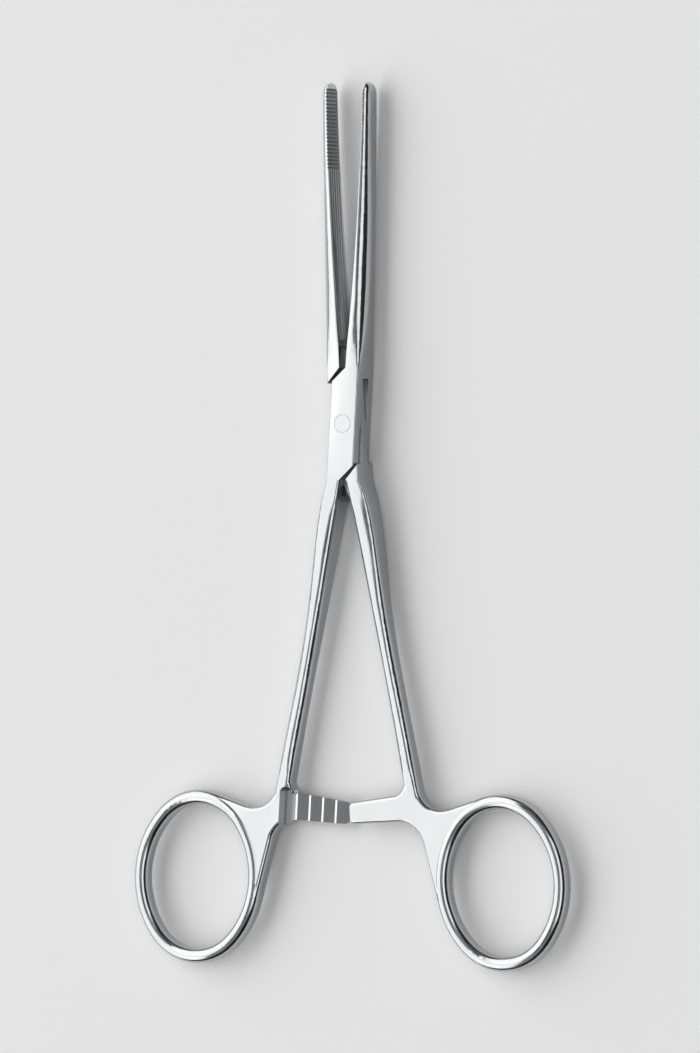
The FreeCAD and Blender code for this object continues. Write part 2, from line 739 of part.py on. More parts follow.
def lay_down(body, turned_over, opening):
    """Put a half on the resting plane, turned about the pivot by its share of the opening."""
    flip = FreeCAD.Rotation(FreeCAD.Vector(0, 1, 0), 180 if turned_over else 0)
    swing = FreeCAD.Rotation(FreeCAD.Vector(0, 0, 1), opening)
    body.Placement = FreeCAD.Placement(FreeCAD.Vector(), swing * flip)
    body.setExpression(".Placement.Base.z", "Sizes.half_thickness")


female = female_half()
male = male_half()
pin = pivot_pin()
half_opening = sheet.get("half_opening")
lay_down(female, False, -half_opening)
lay_down(male, True, half_opening)
lay_down(pin, False, -half_opening)
doc.recompute()

for item in doc.Objects:
    if "Invalid" in item.State or "Error" in item.State:
        raise RuntimeError(f"{item.Name} did not build: {item.State}")
    if item.TypeId in ("PartDesign::Pocket", "PartDesign::Groove"):
        if item.Shape.Volume >= item.BaseFeature.Shape.Volume:
            raise RuntimeError(f"{item.Name} removed nothing")

os.makedirs("parts", exist_ok=True)
for piece in (female, male, pin):
    if piece.Shape.isNull() or not piece.Shape.isValid() or len(piece.Shape.Solids) != 1:
        raise RuntimeError(f"{piece.Label} is not one sound solid")
    piece.Shape.exportStep(f"parts/{piece.Label}.step")
    print(piece.Label, round(piece.Shape.Volume, 2), piece.Shape.BoundBox)
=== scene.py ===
# %% [markdown]
# # Hemostat forceps
# A locking forceps of polished steel: two halves that cross in a box lock, a ground rivet,
# a ratchet between the finger rings and two long serrated jaws.
# The measured solids come in as a fixed frame. This notebook keeps their shapes and places and dresses them:
# it gives each piece its polish, lets the light turn over the tops as a polishing wheel leaves them,
# and lights everything like a catalogue picture.

# %% Load the frame
import math

import bpy
import numpy as np
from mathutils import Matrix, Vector


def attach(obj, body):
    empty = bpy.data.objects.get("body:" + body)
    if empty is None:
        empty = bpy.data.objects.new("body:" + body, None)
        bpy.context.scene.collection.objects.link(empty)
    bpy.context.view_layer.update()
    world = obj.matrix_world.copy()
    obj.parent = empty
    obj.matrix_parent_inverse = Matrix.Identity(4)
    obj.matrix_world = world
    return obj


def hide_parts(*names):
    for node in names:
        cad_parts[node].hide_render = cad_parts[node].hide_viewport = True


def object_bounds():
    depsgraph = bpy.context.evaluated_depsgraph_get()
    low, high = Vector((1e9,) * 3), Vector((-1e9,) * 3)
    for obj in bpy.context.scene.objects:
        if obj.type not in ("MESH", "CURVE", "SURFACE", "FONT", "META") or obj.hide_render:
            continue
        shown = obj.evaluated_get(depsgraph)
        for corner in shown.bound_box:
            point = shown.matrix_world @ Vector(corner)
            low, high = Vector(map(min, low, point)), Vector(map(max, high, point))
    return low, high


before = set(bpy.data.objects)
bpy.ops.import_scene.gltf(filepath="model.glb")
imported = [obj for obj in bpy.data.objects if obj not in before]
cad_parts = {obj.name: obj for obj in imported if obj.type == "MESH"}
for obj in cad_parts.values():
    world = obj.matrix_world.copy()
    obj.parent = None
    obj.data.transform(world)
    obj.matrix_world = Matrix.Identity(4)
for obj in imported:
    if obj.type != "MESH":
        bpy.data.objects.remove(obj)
cad_box = [list(corner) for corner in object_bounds()]
MM = 0.001
print("nodes:", sorted(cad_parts), "box in mm:", [[round(v / MM, 2) for v in c] for c in cad_box])

# %% [markdown]
# ## Where a point is on its half
# The halves cross at the pivot, which stands on the origin. Each half lies turned by half of the opening,
# and the male half has the outline of the female one turned over. A finish has to know where on a half
# it is, so every point is turned back to one common place: jaws closed, the half's own jaw on the +X side.
# A turn is a 3 by 3 matrix, and its transpose turns back again, so one function serves both ways.

# %% Turn of a half
HALF_OPENING = math.radians(3.45)
MID_HEIGHT = 2.8 * MM


def closing_turn(turned_over):
    """Matrix that turns directions of a half to where they point with closed jaws."""
    side = -1 if turned_over else 1
    cosine = math.cos(HALF_OPENING)
    sine = math.sin(HALF_OPENING)
    turn = np.array([[cosine, -sine, 0], [sine, cosine, 0], [0, 0, 1]])
    return turn * [side, 1, side]


def on_half(points, turned_over):
    """Points as they lie on the closed half, measured from the middle of the box."""
    return (points - [0, 0, MID_HEIGHT]) @ closing_turn(turned_over).T


tip = on_half(np.array([[0, cad_box[1][1], MID_HEIGHT]]), False)
print("a point above the pivot moves in mm to", np.round(tip / MM, 2).tolist())

# %% [markdown]
# ## Camera
# The picture looks down on the lying forceps from 30 degrees to its right, through a long lens,
# so that it shows the tops and the right-hand sides with hardly any perspective.
# A perspective camera far away does that, and its lens follows from the height that it has to frame.

# %% Camera
CAMERA_TILT = math.radians(30)
CAMERA_DISTANCE = 1.6
PICTURE_ROWS = 1053
ROW_SIZE = 0.18 * MM
FRAMED_HEIGHT = PICTURE_ROWS * ROW_SIZE
FRAME_MIDDLE = Vector((0, -18.5 * MM, MID_HEIGHT))
SENSOR = 36.0
NEAREST_SEEN = 0.05
FARTHEST_SEEN = 10.0

camera_data = bpy.data.cameras.new("long_lens")
camera_data.type = "PERSP"
camera_data.sensor_fit = "VERTICAL"
camera_data.sensor_height = SENSOR
camera_data.lens = SENSOR * CAMERA_DISTANCE / FRAMED_HEIGHT
camera_data.clip_start = NEAREST_SEEN
camera_data.clip_end = FARTHEST_SEEN
camera = bpy.data.objects.new("camera", camera_data)
bpy.context.scene.collection.objects.link(camera)
away = Vector((math.sin(CAMERA_TILT), 0, math.cos(CAMERA_TILT)))
camera.location = FRAME_MIDDLE + CAMERA_DISTANCE * away
camera.rotation_euler = (0, CAMERA_TILT, 0)
bpy.context.scene.camera = camera
print("lens", round(camera_data.lens), "mm at", CAMERA_DISTANCE, "m")

# %% [markdown]
# ## Floor
# The forceps lies on a sheet of pale paper. A plain wide plane does for that, and its matt material
# has the colour of the paper, so that it catches the soft shadow.

# %% Floor
FLOOR_HALF = 2.0
PAPER_TONE = 0.93
PAPER_ROUGHNESS = 0.9

floor_data = bpy.data.meshes.new("floor")
floor_corners = [(x * FLOOR_HALF, y * FLOOR_HALF, 0) for x, y in ((-1, -1), (1, -1), (1, 1), (-1, 1))]
floor_data.from_pydata(floor_corners, [], [(0, 1, 2, 3)])
floor = bpy.data.objects.new("floor", floor_data)
bpy.context.scene.collection.objects.link(floor)
paper = bpy.data.materials.new("pale_floor")
paper.use_nodes = True
paper_shader = paper.node_tree.nodes["Principled BSDF"]
paper_shader.inputs["Base Color"].default_value = (PAPER_TONE, PAPER_TONE, PAPER_TONE, 1)
paper_shader.inputs["Roughness"].default_value = PAPER_ROUGHNESS
floor_data.materials.append(paper)
print("floor", 2 * FLOOR_HALF, "m wide")

# %% [markdown]
# ## Lamps
# Polished steel has no colour of its own: it shows the room. A long window on the left whitens the flat tops,
# which mirror that side for this camera, and throws the shadow to the right. A smaller lamp behind the camera
# brings light into the ratchet and onto the floor. Large area lamps are used, because a small lamp
# would show on the steel as a hard dot.

# %% Lamps
WINDOW_PLACE = Vector((-1.25, 0.15, 1.0))
WINDOW_WIDTH = 4.5
WINDOW_HEIGHT = 1.9
WINDOW_POWER = 42.0
FRONT_PLACE = Vector((0.95, 0.0, 1.5))
FRONT_WIDTH = 1.8
FRONT_HEIGHT = 0.9
FRONT_POWER = 8.0


def soft_lamp(name, place, width, height, power):
    """Wide soft lamp that faces the middle of the picture."""
    data = bpy.data.lights.new(name, "AREA")
    data.shape = "RECTANGLE"
    data.size = width
    data.size_y = height
    data.energy = power
    lamp = bpy.data.objects.new(name, data)
    bpy.context.scene.collection.objects.link(lamp)
    lamp.location = place
    lamp.rotation_euler = (FRAME_MIDDLE - lamp.location).to_track_quat("-Z", "Y").to_euler()


soft_lamp("window_left", WINDOW_PLACE, WINDOW_WIDTH, WINDOW_HEIGHT, WINDOW_POWER)
soft_lamp("front", FRONT_PLACE, FRONT_WIDTH, FRONT_HEIGHT, FRONT_POWER)
print("lamps:", [light.name for light in bpy.data.lights])

# %% [markdown]
# ## The room in the reflections
# What the lamps leave dark, the steel fills with the world. It is brightest up on the left and falls to
# nearly black at the right, which draws the dark lines along rounded edges. Large soft shapes in it stand for
# walls and furniture, so that a curved face shows light and dark patches. The brightness follows
# the angle to one direction, and a smooth noise over the directions makes the shapes.

# %% World
BRIGHT_SIDE = (-0.45, 0.1, 0.88)
DARK_END = 0.15
DARK_TONE = (0.035, 0.035, 0.04, 1)
BRIGHT_END = 1.0
BRIGHT_TONE = (0.6, 0.6, 0.6, 1)
ROOM_SHAPES_SCALE = 5.0
ROOM_SHAPES_EDGE = (0.42, 0.58)
ROOM_SHAPES_DARKEST = 0.12

world = bpy.data.worlds.new("studio")
world.use_nodes = True
bpy.context.scene.world = world
world_nodes = world.node_tree.nodes
world_links = world.node_tree.links
sky_direction = world_nodes.new("ShaderNodeTexCoord")
sky_side = world_nodes.new("ShaderNodeVectorMath")
sky_side.operation = "DOT_PRODUCT"
sky_side.inputs[1].default_value = BRIGHT_SIDE
sky_ramp = world_nodes.new("ShaderNodeValToRGB")
sky_ramp.color_ramp.interpolation = "EASE"
dark_stop, bright_stop = sky_ramp.color_ramp.elements
dark_stop.position = DARK_END
dark_stop.color = DARK_TONE
bright_stop.position = BRIGHT_END
bright_stop.color = BRIGHT_TONE
room = world_nodes.new("ShaderNodeTexNoise")
room.inputs["Scale"].default_value = ROOM_SHAPES_SCALE
room.inputs["Detail"].default_value = 0.0
room_shapes = world_nodes.new("ShaderNodeMapRange")
room_shapes.interpolation_type = "SMOOTHSTEP"
room_shapes.inputs["From Min"].default_value = ROOM_SHAPES_EDGE[0]
room_shapes.inputs["From Max"].default_value = ROOM_SHAPES_EDGE[1]
room_shapes.inputs["To Min"].default_value = ROOM_SHAPES_DARKEST
sky_light = world_nodes.new("ShaderNodeVectorMath")
sky_light.operation = "SCALE"
world_links.new(sky_direction.outputs["Generated"], sky_side.inputs[0])
world_links.new(sky_side.outputs["Value"], sky_ramp.inputs["Fac"])
world_links.new(sky_direction.outputs["Generated"], room.inputs["Vector"])
world_links.new(room.outputs["Fac"], room_shapes.inputs["Value"])
world_links.new(sky_ramp.outputs["Color"], sky_light.inputs["Vector"])
world_links.new(room_shapes.outputs["Result"], sky_light.inputs["Scale"])
world_links.new(sky_light.outputs["Vector"], world_nodes["Background"].inputs["Color"])
bpy.context.scene.view_settings.view_transform = "Standard"
print("world with", len(world_nodes), "nodes, view", bpy.context.scene.view_settings.view_transform)

# %% [markdown]
# ## Shader groups
# Real polished steel is never one even mirror. Four effects make it believable, and each is a node group
# so that every finish can use it with its own values: hair-fine polishing lines that run with the work,
# slow waves that the buffing wheel leaves, smudges from handling, and masks for corners and edges, which the
# finishes use for painted shade in the corners and a painted highlight on the edges.
# The groups only put out masks, heights and a normal. The shader itself stays in each material.

# %% Helpers for node trees
def new_group(name, inputs, outputs):
    """Make a shader node group with named float, vector or colour sockets."""
    group = bpy.data.node_groups.new(name, "ShaderNodeTree")
    for socket_name, kind, value in inputs:
        socket = group.interface.new_socket(name=socket_name, in_out="INPUT", socket_type=kind)
        if value is not None:
            socket.default_value = value
    for socket_name, kind in outputs:
        group.interface.new_socket(name=socket_name, in_out="OUTPUT", socket_type=kind)
    return group, group.nodes.new("NodeGroupInput"), group.nodes.new("NodeGroupOutput")


def math_node(tree, operation, first, second=None, clamp=False):
    """Add a Math node and feed it with sockets or plain numbers."""
    node = tree.nodes.new("ShaderNodeMath")
    node.operation = operation
    node.use_clamp = clamp
    for socket, value in zip(node.inputs, (first, second)):
        if value is None:
            continue
        if isinstance(value, (int, float)):
            socket.default_value = value
        else:
            tree.links.new(value, socket)
    return node.outputs[0]


def stretched_noise(tree, place, stretch, detail=2.0):
    """Noise on coordinates that are first scaled differently along each axis."""
    scaled = tree.nodes.new("ShaderNodeVectorMath")
    scaled.operation = "MULTIPLY"
    tree.links.new(place, scaled.inputs[0])
    tree.links.new(stretch, scaled.inputs[1])
    noise = tree.nodes.new("ShaderNodeTexNoise")
    noise.inputs["Scale"].default_value = 1.0
    noise.inputs["Detail"].default_value = detail
    tree.links.new(scaled.outputs[0], noise.inputs["Vector"])
    return noise.outputs["Fac"]


def axis_scales(tree, across, along):
    """Vector (across, along, across) from two sockets."""
    joined = tree.nodes.new("ShaderNodeCombineXYZ")
    tree.links.new(across, joined.inputs["X"])
    tree.links.new(along, joined.inputs["Y"])
    tree.links.new(across, joined.inputs["Z"])
    return joined.outputs["Vector"]


print("helpers for node trees are ready")

# %% [markdown]
# ## Polishing lines
# A polishing belt leaves fine parallel lines and now and then a longer scratch. Both are noise, stretched
# far along one axis. The scratches are the few highest ridges of a coarser noise,
# and they are cut into the height and added to the mask.

# %% Polishing lines
SCRATCHES_PER_LINE = 0.3
SCRATCH_LENGTHS_PER_LINE = 0.5
SCRATCH_THRESHOLD = 0.62
SCRATCH_GAIN = 6.0

grain_group, grain_in, grain_out = new_group(
    "polishing_lines",
    [
        ("Vector", "NodeSocketVector", None),
        ("Lines per Metre", "NodeSocketFloat", 5000.0),
        ("Length per Metre", "NodeSocketFloat", 90.0),
        ("Scratches", "NodeSocketFloat", 0.5),
    ],
    [("Height", "NodeSocketFloat"), ("Lines", "NodeSocketFloat")],
)
fine = stretched_noise(
    grain_group, grain_in.outputs["Vector"],
    axis_scales(grain_group, grain_in.outputs["Lines per Metre"], grain_in.outputs["Length per Metre"]),
)
few = math_node(grain_group, "MULTIPLY", grain_in.outputs["Lines per Metre"], SCRATCHES_PER_LINE)
long = math_node(grain_group, "MULTIPLY", grain_in.outputs["Length per Metre"], SCRATCH_LENGTHS_PER_LINE)
coarse = stretched_noise(grain_group, grain_in.outputs["Vector"], axis_scales(grain_group, few, long))
scratch = math_node(grain_group, "SUBTRACT", coarse, SCRATCH_THRESHOLD)
scratch = math_node(grain_group, "MULTIPLY", scratch, SCRATCH_GAIN, clamp=True)
scratch = math_node(grain_group, "MULTIPLY", scratch, grain_in.outputs["Scratches"])
grain_group.links.new(math_node(grain_group, "SUBTRACT", fine, scratch), grain_out.inputs["Height"])
grain_group.links.new(math_node(grain_group, "ADD", fine, scratch), grain_out.inputs["Lines"])
print("group", grain_group.name, "with", len(grain_group.nodes), "nodes")

# %% [markdown]
# ## Buffing waves
# By hand no face comes off the wheel dead flat. A smooth noise, a few millimetres from crest to crest
# and longer along the work, is used as a height. It only bends the reflections a little.

# %% Waves of the buffing wheel
wave_group, wave_in, wave_out = new_group(
    "buffing_waves",
    [
        ("Vector", "NodeSocketVector", None),
        ("Across per Metre", "NodeSocketFloat", 160.0),
        ("Along per Metre", "NodeSocketFloat", 55.0),
    ],
    [("Height", "NodeSocketFloat")],
)
wave = stretched_noise(
    wave_group, wave_in.outputs["Vector"],
    axis_scales(wave_group, wave_in.outputs["Across per Metre"], wave_in.outputs["Along per Metre"]),
    detail=0.0,
)
wave_group.links.new(wave, wave_out.inputs["Height"])
print("group", wave_group.name, "with", len(wave_group.nodes), "nodes")

# %% [markdown]
# ## Smudges
# Fingers leave faint dull patches. A cloudy noise above a threshold makes the mask,
# and each finish decides how much duller its patches are.

# %% Smudges from handling
SMUDGE_DETAIL = 4.0
SMUDGE_ROUGHNESS = 0.6
SMUDGE_DISTORTION = 0.6
SMUDGE_GAIN = 4.0

smudge_group, smudge_in, smudge_out = new_group(
    "handling_smudges",
    [
        ("Vector", "NodeSocketVector", None),
        ("Scale", "NodeSocketFloat", 110.0),
        ("Threshold", "NodeSocketFloat", 0.45),
    ],
    [("Mask", "NodeSocketFloat")],
)
smudge_noise = smudge_group.nodes.new("ShaderNodeTexNoise")
smudge_noise.inputs["Detail"].default_value = SMUDGE_DETAIL
smudge_noise.inputs["Roughness"].default_value = SMUDGE_ROUGHNESS
smudge_noise.inputs["Distortion"].default_value = SMUDGE_DISTORTION
smudge_group.links.new(smudge_in.outputs["Vector"], smudge_noise.inputs["Vector"])
smudge_group.links.new(smudge_in.outputs["Scale"], smudge_noise.inputs["Scale"])
above = math_node(smudge_group, "SUBTRACT", smudge_noise.outputs["Fac"], smudge_in.outputs["Threshold"])
smudge = math_node(smudge_group, "MULTIPLY", above, SMUDGE_GAIN, clamp=True)
smudge_group.links.new(smudge, smudge_out.inputs["Mask"])
print("group", smudge_group.name, "with", len(smudge_group.nodes), "nodes")

# %% [markdown]
# ## Corners and edges
# The wheel doesn't reach into corners, which stay rougher, and it rounds every sharp edge a little.
# The finishes also darken the colour in the corners, which is painted shade, and lighten it on edges, which
# is a painted highlight.
# Ambient Occlusion finds the corners. The Bevel node gives a normal as if edges were rounded, and where that
# normal leaves the true one there is an edge.

# %% Corners with painted shade and rougher polish, rounded edges with a painted highlight
RAYS = 4
CAVITY_POWER = 1.5
EDGE_GLINT_GAIN = 12.0

corner_group, corner_in, corner_out = new_group(
    "corners_and_edges",
    [("Depth", "NodeSocketFloat", 0.5 * MM), ("Edge Radius", "NodeSocketFloat", 0.08 * MM)],
    [("Corner Shade And Dullness", "NodeSocketFloat"), ("Edge", "NodeSocketFloat"), ("Rounded Normal", "NodeSocketVector")],
)
occlusion = corner_group.nodes.new("ShaderNodeAmbientOcclusion")
occlusion.samples = RAYS
corner_group.links.new(corner_in.outputs["Depth"], occlusion.inputs["Distance"])
# The corner mask darkens the colour in the finishes, which is painted shade, and roughens their polish.
closed_in = math_node(corner_group, "SUBTRACT", 1.0, occlusion.outputs["AO"])
cavity = math_node(corner_group, "POWER", closed_in, CAVITY_POWER, clamp=True)
corner_group.links.new(cavity, corner_out.inputs["Corner Shade And Dullness"])
rounding = corner_group.nodes.new("ShaderNodeBevel")
rounding.samples = RAYS
corner_group.links.new(corner_in.outputs["Edge Radius"], rounding.inputs["Radius"])
surface = corner_group.nodes.new("ShaderNodeNewGeometry")
agreement = corner_group.nodes.new("ShaderNodeVectorMath")
agreement.operation = "DOT_PRODUCT"
corner_group.links.new(rounding.outputs["Normal"], agreement.inputs[0])
corner_group.links.new(surface.outputs["Normal"], agreement.inputs[1])
turned = math_node(corner_group, "SUBTRACT", 1.0, agreement.outputs["Value"])
turned = math_node(corner_group, "MULTIPLY", turned, EDGE_GLINT_GAIN, clamp=True)
# The edge mask lightens the colour in the finishes: a painted highlight.
edge_glint_mask = math_node(corner_group, "MULTIPLY", turned, occlusion.outputs["AO"])
corner_group.links.new(edge_glint_mask, corner_out.inputs["Edge"])
corner_group.links.new(rounding.outputs["Normal"], corner_out.inputs["Rounded Normal"])
print("groups:", [g.name for g in bpy.data.node_groups])

# %% [markdown]
# ## Steel finishes
# One recipe gives all four finishes. The grain coordinate is an attribute on the mesh: it runs along
# the jaws and shanks and follows the finger rings round, as the polishing belt does.
# Polished steel is for all outer faces and cut steel for the grooves, the tooth ramps and the inside
# of the lock, with a darker tone that is painted shade in these hollows over their real rougher grain. Worn
# steel is for the lands that rub: the flat tops between the grooves and on the teeth, with a lighter tone
# that is a painted highlight on the level lands.
# The rivet is another steel than the halves, so it is a shade darker after the same polishing.

# %% Steel recipe
EDGE_GLINT_SHARE = 0.5
LINES_SHARE = 0.6
SMUDGE_SHARE = 0.5
CORNER_ROUGHNESS = 0.25


def steel_finish(name, colour, gloss, lines, painted_shade_and_glint, bump, wave_height):
    """Metal with polishing lines, smudges, painted shade in the corners and a painted highlight on edges.

    gloss is the smoothest and the roughest, lines how many there are across and along a metre,
    the pair for corners and edges the tone of the painted shade in cavities and the gain of the painted
    highlight on edges, bump and wave_height are heights.
    """
    material = bpy.data.materials.new(name)
    material.use_nodes = True
    tree = material.node_tree
    shader = tree.nodes["Principled BSDF"]
    shader.inputs["Metallic"].default_value = 1.0

    grain_place = tree.nodes.new("ShaderNodeAttribute")
    grain_place.attribute_name = "grain"
    grain = tree.nodes.new("ShaderNodeGroup")
    grain.node_tree = grain_group
    grain.inputs["Lines per Metre"].default_value = lines[0]
    grain.inputs["Length per Metre"].default_value = lines[1]
    tree.links.new(grain_place.outputs["Vector"], grain.inputs["Vector"])

    object_place = tree.nodes.new("ShaderNodeTexCoord")
    smudge = tree.nodes.new("ShaderNodeGroup")
    smudge.node_tree = smudge_group
    tree.links.new(object_place.outputs["Object"], smudge.inputs["Vector"])

    corners = tree.nodes.new("ShaderNodeGroup")
    corners.node_tree = corner_group

    # Painted shade: the colour darkens where Ambient Occlusion finds a corner.
    painted_corner_shade = tree.nodes.new("ShaderNodeMix")
    painted_corner_shade.data_type = "RGBA"
    painted_corner_shade.inputs["A"].default_value = (*colour, 1)
    painted_corner_shade.inputs["B"].default_value = (*[c * painted_shade_and_glint[0] for c in colour], 1)
    tree.links.new(corners.outputs["Corner Shade And Dullness"], painted_corner_shade.inputs["Factor"])
    # Painted highlight: the colour lightens on the edges that the Bevel node finds.
    painted_edge_glint = tree.nodes.new("ShaderNodeMix")
    painted_edge_glint.data_type = "RGBA"
    painted_edge_glint.inputs["B"].default_value = (*[min(1.0, c * painted_shade_and_glint[1]) for c in colour], 1)
    tree.links.new(painted_corner_shade.outputs["Result"], painted_edge_glint.inputs["A"])
    tree.links.new(math_node(tree, "MULTIPLY", corners.outputs["Edge"], EDGE_GLINT_SHARE), painted_edge_glint.inputs["Factor"])
    tree.links.new(painted_edge_glint.outputs["Result"], shader.inputs["Base Color"])

    spread = gloss[1] - gloss[0]
    from_lines = math_node(tree, "MULTIPLY", grain.outputs["Lines"], LINES_SHARE * spread)
    from_smudge = math_node(tree, "MULTIPLY", smudge.outputs["Mask"], SMUDGE_SHARE * spread)
    from_corner = math_node(tree, "MULTIPLY", corners.outputs["Corner Shade And Dullness"], CORNER_ROUGHNESS)
    rough = math_node(tree, "ADD", math_node(tree, "ADD", from_lines, from_smudge), from_corner)
    tree.links.new(math_node(tree, "ADD", rough, gloss[0]), shader.inputs["Roughness"])

    waves = tree.nodes.new("ShaderNodeGroup")
    waves.node_tree = wave_group
    tree.links.new(object_place.outputs["Object"], waves.inputs["Vector"])
    swell = tree.nodes.new("ShaderNodeBump")
    swell.inputs["Distance"].default_value = wave_height
    tree.links.new(waves.outputs["Height"], swell.inputs["Height"])
    tree.links.new(corners.outputs["Rounded Normal"], swell.inputs["Normal"])
    relief = tree.nodes.new("ShaderNodeBump")
    relief.inputs["Distance"].default_value = bump
    tree.links.new(grain.outputs["Height"], relief.inputs["Height"])
    tree.links.new(swell.outputs["Normal"], relief.inputs["Normal"])
    tree.links.new(relief.outputs["Normal"], shader.inputs["Normal"])
    return material


print("the recipe draws on", len(bpy.data.node_groups), "shader groups")

# %% Four finishes
# The last pair of each finish is the painted shade in cavities and the gain of the painted highlight on
# edges.
polished_steel = steel_finish(
    "polished_steel", colour=(0.50, 0.505, 0.515), gloss=(0.10, 0.24), lines=(5000, 90),
    painted_shade_and_glint=(0.25, 1.25), bump=0.0012 * MM, wave_height=0.25 * MM,
)
# Darker tone: painted shade in the grooves, the tooth ramps and the lock.
shaded_cut_steel = steel_finish(
    "shaded_cut_steel", colour=(0.33, 0.335, 0.345), gloss=(0.25, 0.45), lines=(9000, 400),
    painted_shade_and_glint=(0.08, 1.8), bump=0.003 * MM, wave_height=0.02 * MM,
)
# Lighter tone: a painted highlight on the level lands.
lit_worn_steel = steel_finish(
    "lit_worn_steel", colour=(0.64, 0.645, 0.655), gloss=(0.14, 0.30), lines=(7000, 200),
    painted_shade_and_glint=(0.5, 1.25), bump=0.002 * MM, wave_height=0.05 * MM,
)
rivet_steel = steel_finish(
    "rivet_steel", colour=(0.495, 0.50, 0.51), gloss=(0.10, 0.26), lines=(6000, 70),
    painted_shade_and_glint=(0.4, 1.1), bump=0.0015 * MM, wave_height=0.25 * MM,
)
print("finishes:", [m.name for m in bpy.data.materials if "steel" in m.name])

# %% [markdown]
# ## The two halves
# Each half is a forging that is ground and polished, and its solid already has every form.
# The frame's mesh is loose triangles, so the visible half is a copy whose doubles are joined,
# with the exact normals of the solid kept on its corners. Its long triangles are split,
# because a flat face of two triangles has nowhere to keep a grain direction or a soft curve.

# %% Join the loose triangles of a node
JOINING_STEP = MM / 2000


def joined_triangles(node_name):
    """Points, triangles and corner normals of a node, with its doubled points joined."""
    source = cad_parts[node_name].data
    corners = np.empty(len(source.loops), dtype=np.int32)
    source.loops.foreach_get("vertex_index", corners)
    points = np.empty(len(source.vertices) * 3, dtype=np.float32)
    source.vertices.foreach_get("co", points)
    points = points.reshape(-1, 3)
    normals = np.empty(len(source.loops) * 3, dtype=np.float32)
    source.corner_normals.foreach_get("vector", normals)
    normals = normals.reshape(-1, 3, 3)
    steps = np.round(points / JOINING_STEP).astype(np.int64)
    _, keep, place = np.unique(steps, axis=0, return_index=True, return_inverse=True)
    faces = place.ravel()[corners].reshape(-1, 3)
    a, b, c = faces.T
    sound = (a != b) & (b != c) & (c != a)
    return points[keep].astype(float), faces[sound], normals[sound].astype(float)


for node_name in sorted(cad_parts):
    print(node_name, "has", len(joined_triangles(node_name)[0]), "points once they are joined")

# %% [markdown]
# ## Splitting long edges
# Subdivision would split every face, also the tiny ones on roundings. Here only edges over a limit
# are halved, for both triangles beside them at once, so that no gap opens. A triangle with one, two or three
# halved edges becomes two, three or four, and the step is repeated until no edge is too long.

# %% Split long edges
NEVER_ZERO = 1e-9


def unit(vectors):
    """The same directions with length 1."""
    return vectors / np.linalg.norm(vectors, axis=-1, keepdims=True)


def split_once(points, faces, normals, longest):
    """Halve every edge over the limit. Each triangle becomes two, three or four, and none gets a gap."""
    following = np.roll(faces, -1, axis=1)
    ends = np.sort(np.stack([faces, following], axis=2).reshape(-1, 2), axis=1)
    edges, where = np.unique(ends, axis=0, return_inverse=True)
    length = np.linalg.norm(points[edges[:, 0]] - points[edges[:, 1]], axis=1)
    long_edge = length > longest
    middle = np.full(len(edges), -1)
    middle[long_edge] = len(points) + np.arange(long_edge.sum())
    points = np.vstack([points, points[edges[long_edge]].mean(axis=1)])
    middle = middle[where.reshape(-1, 3)]
    split = middle >= 0
    count = split.sum(axis=1)
    # Turn each triangle so that its first edge is split and, when two are, its last one isn't
    after_whole_edge = (split.argmin(axis=1) + 1) % 3
    turn = np.where(count == 1, split.argmax(axis=1), np.where(count == 2, after_whole_edge, 0))
    order = (np.arange(3) + turn[:, None]) % 3
    corner = np.take_along_axis(faces, order, 1)
    halfway = np.take_along_axis(middle, order, 1)
    at_corner = np.take_along_axis(normals, order[:, :, None], 1)
    at_half = unit(at_corner + np.roll(at_corner, -1, axis=1) + NEVER_ZERO)
    places = np.concatenate([corner, halfway], axis=1)
    directions = np.concatenate([at_corner, at_half], axis=1)
    # Corners are 0, 1, 2 and the middles of the edges after them 3, 4, 5
    patterns = {
        0: [(0, 1, 2)],
        1: [(0, 3, 2), (3, 1, 2)],
        2: [(3, 1, 4), (0, 3, 2), (3, 4, 2)],
        3: [(0, 3, 5), (3, 1, 4), (5, 4, 2), (3, 4, 5)],
    }
    new_faces = []
    new_normals = []
    for number, pattern in patterns.items():
        mine = count == number
        for triangle in pattern:
            new_faces.append(places[mine][:, triangle])
            new_normals.append(directions[mine][:, triangle])
    return points, np.vstack(new_faces), np.vstack(new_normals), bool(long_edge.any())


def split_long_edges(points, faces, normals, longest):
    """Halve edges until none is over the limit."""
    again = True
    while again:
        points, faces, normals, again = split_once(points, faces, normals, longest)
    return points, faces, normals


# %% [markdown]
# ## Hand-polished surfaces
# A polishing wheel never leaves a dead flat face. It crowns the tops a little towards their edges, less on
# the wide flat box, and flows over the line where the box runs out into jaw and shank. Both change only how
# the light turns, by a few degrees, so they are put into the corner normals and the measured shape stays.
# To know how far a point is from the middle of its top, the top's edges are measured in short steps
# along the half and smoothed.

# %% Measures along a half
RATCHET_TOP = -65.5 * MM
STEP = 0.5 * MM
FLOW = 2.2 * MM
FLOW_STEPS = 12
FLAT_TOP = 0.985
JAW_REACH = 61.5 * MM
STATIONS = np.arange(RATCHET_TOP, JAW_REACH + STEP, STEP)


def smoothed(measured, y):
    """Fill the stations where nothing was measured, smooth along the half and read at every y."""
    known = ~np.isnan(measured)
    centres = STATIONS + STEP / 2
    filled = np.interp(centres, centres[known], measured[known])
    reach = np.arange(-FLOW_STEPS, FLOW_STEPS + 1) * STEP
    weights = np.exp(-0.5 * (reach / FLOW) ** 2)
    weights /= weights.sum()
    smooth = np.convolve(np.pad(filled, FLOW_STEPS, mode="edge"), weights, mode="valid")
    return np.interp(y, centres, smooth)


